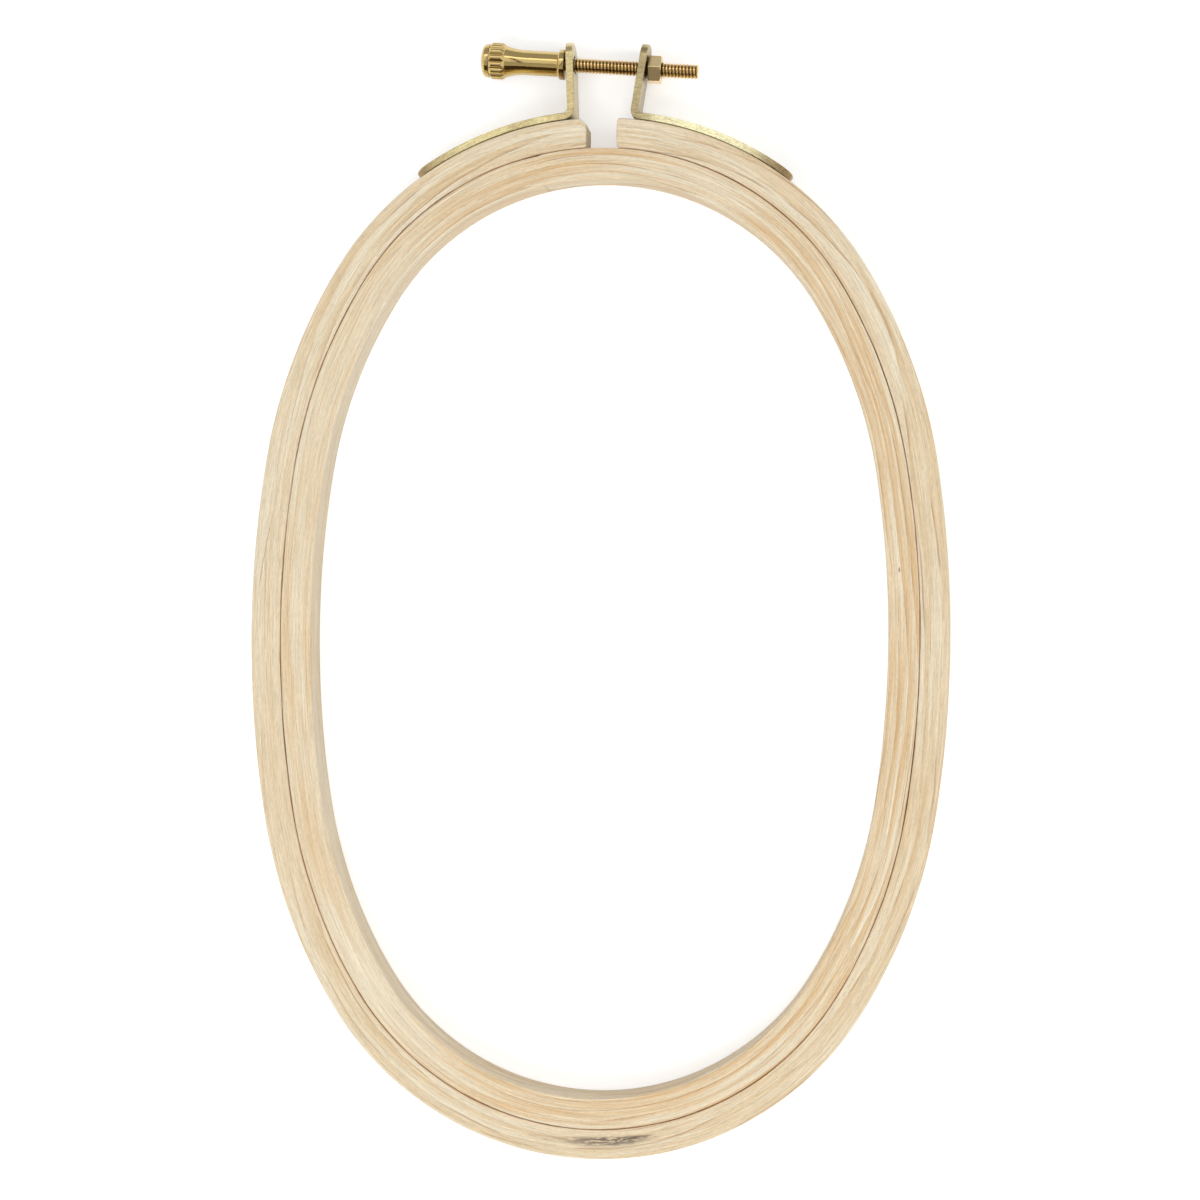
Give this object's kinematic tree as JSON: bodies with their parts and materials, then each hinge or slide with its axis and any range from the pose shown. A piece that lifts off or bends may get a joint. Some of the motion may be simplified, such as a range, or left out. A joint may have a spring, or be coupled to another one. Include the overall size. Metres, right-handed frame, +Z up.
{
  "type": "embroidery hoop",
  "caption": "Oval wooden embroidery hoop: an inner ring in a split outer ring that a brass knobbed screw and nut draw tight through two bent brass lugs.",
  "frame": {"origin": "middle of the oval work opening, on the plane the hoop rests on", "axes": "+Z up out of the hoop's face, +Y along the oval towards the screw, +X across it towards the nut"},
  "size_m": [0.1424, 0.2269, 0.008],
  "materials": {
    "inner_wood": "sanded bare beech",
    "outer_wood": "sanded bare beech",
    "strip_brass": "satin, aged",
    "nail_brass": "satin",
    "screw_brass": "polished",
    "nut_brass": "satin"
  },
  "bodies": {
    "left_arm": {"outer_ring_left": "outer_wood", "left_bracket": "strip_brass", "left_bracket_nails": "nail_brass"},
    "right_arm": {"outer_ring_right": "outer_wood", "right_bracket": "strip_brass", "right_bracket_nails": "nail_brass"},
    "screw": {"tension_screw": "screw_brass"},
    "nut": {"hex_nut": "nut_brass"},
    "inner": {"inner_ring": "inner_wood"}
  },
  "joints": [
    {"name": "screw_turn", "type": "hinge", "parent": "left_arm", "child": "screw", "pos_m": [-0.00776, 0.11697, 0.004], "axis": [-0.9979, 0.0645, 0], "range_deg": [0, 3061]},
    {"name": "ring_opening", "type": "hinge", "parent": "left_arm", "child": "right_arm", "pos_m": [0, -0.10537, 0.004], "axis": [0, 0, -1], "range_deg": [0, 1.51]},
    {"name": "nut_travel", "type": "slide", "parent": "left_arm", "child": "nut", "axis": [0.9979, -0.0645, 0], "range_m": [0, 0.00596]},
    {"name": "inner_ring_lift", "type": "slide", "parent": "left_arm", "child": "inner", "axis": [0, 0, 1], "range_m": [0, 0.025]}
  ],
  "couplings": [
    {"joint": "screw_turn", "follows": "ring_opening", "ratio": 2021.7},
    {"joint": "nut_travel", "follows": "ring_opening", "m_per_rad": 0.22524}
  ]
}
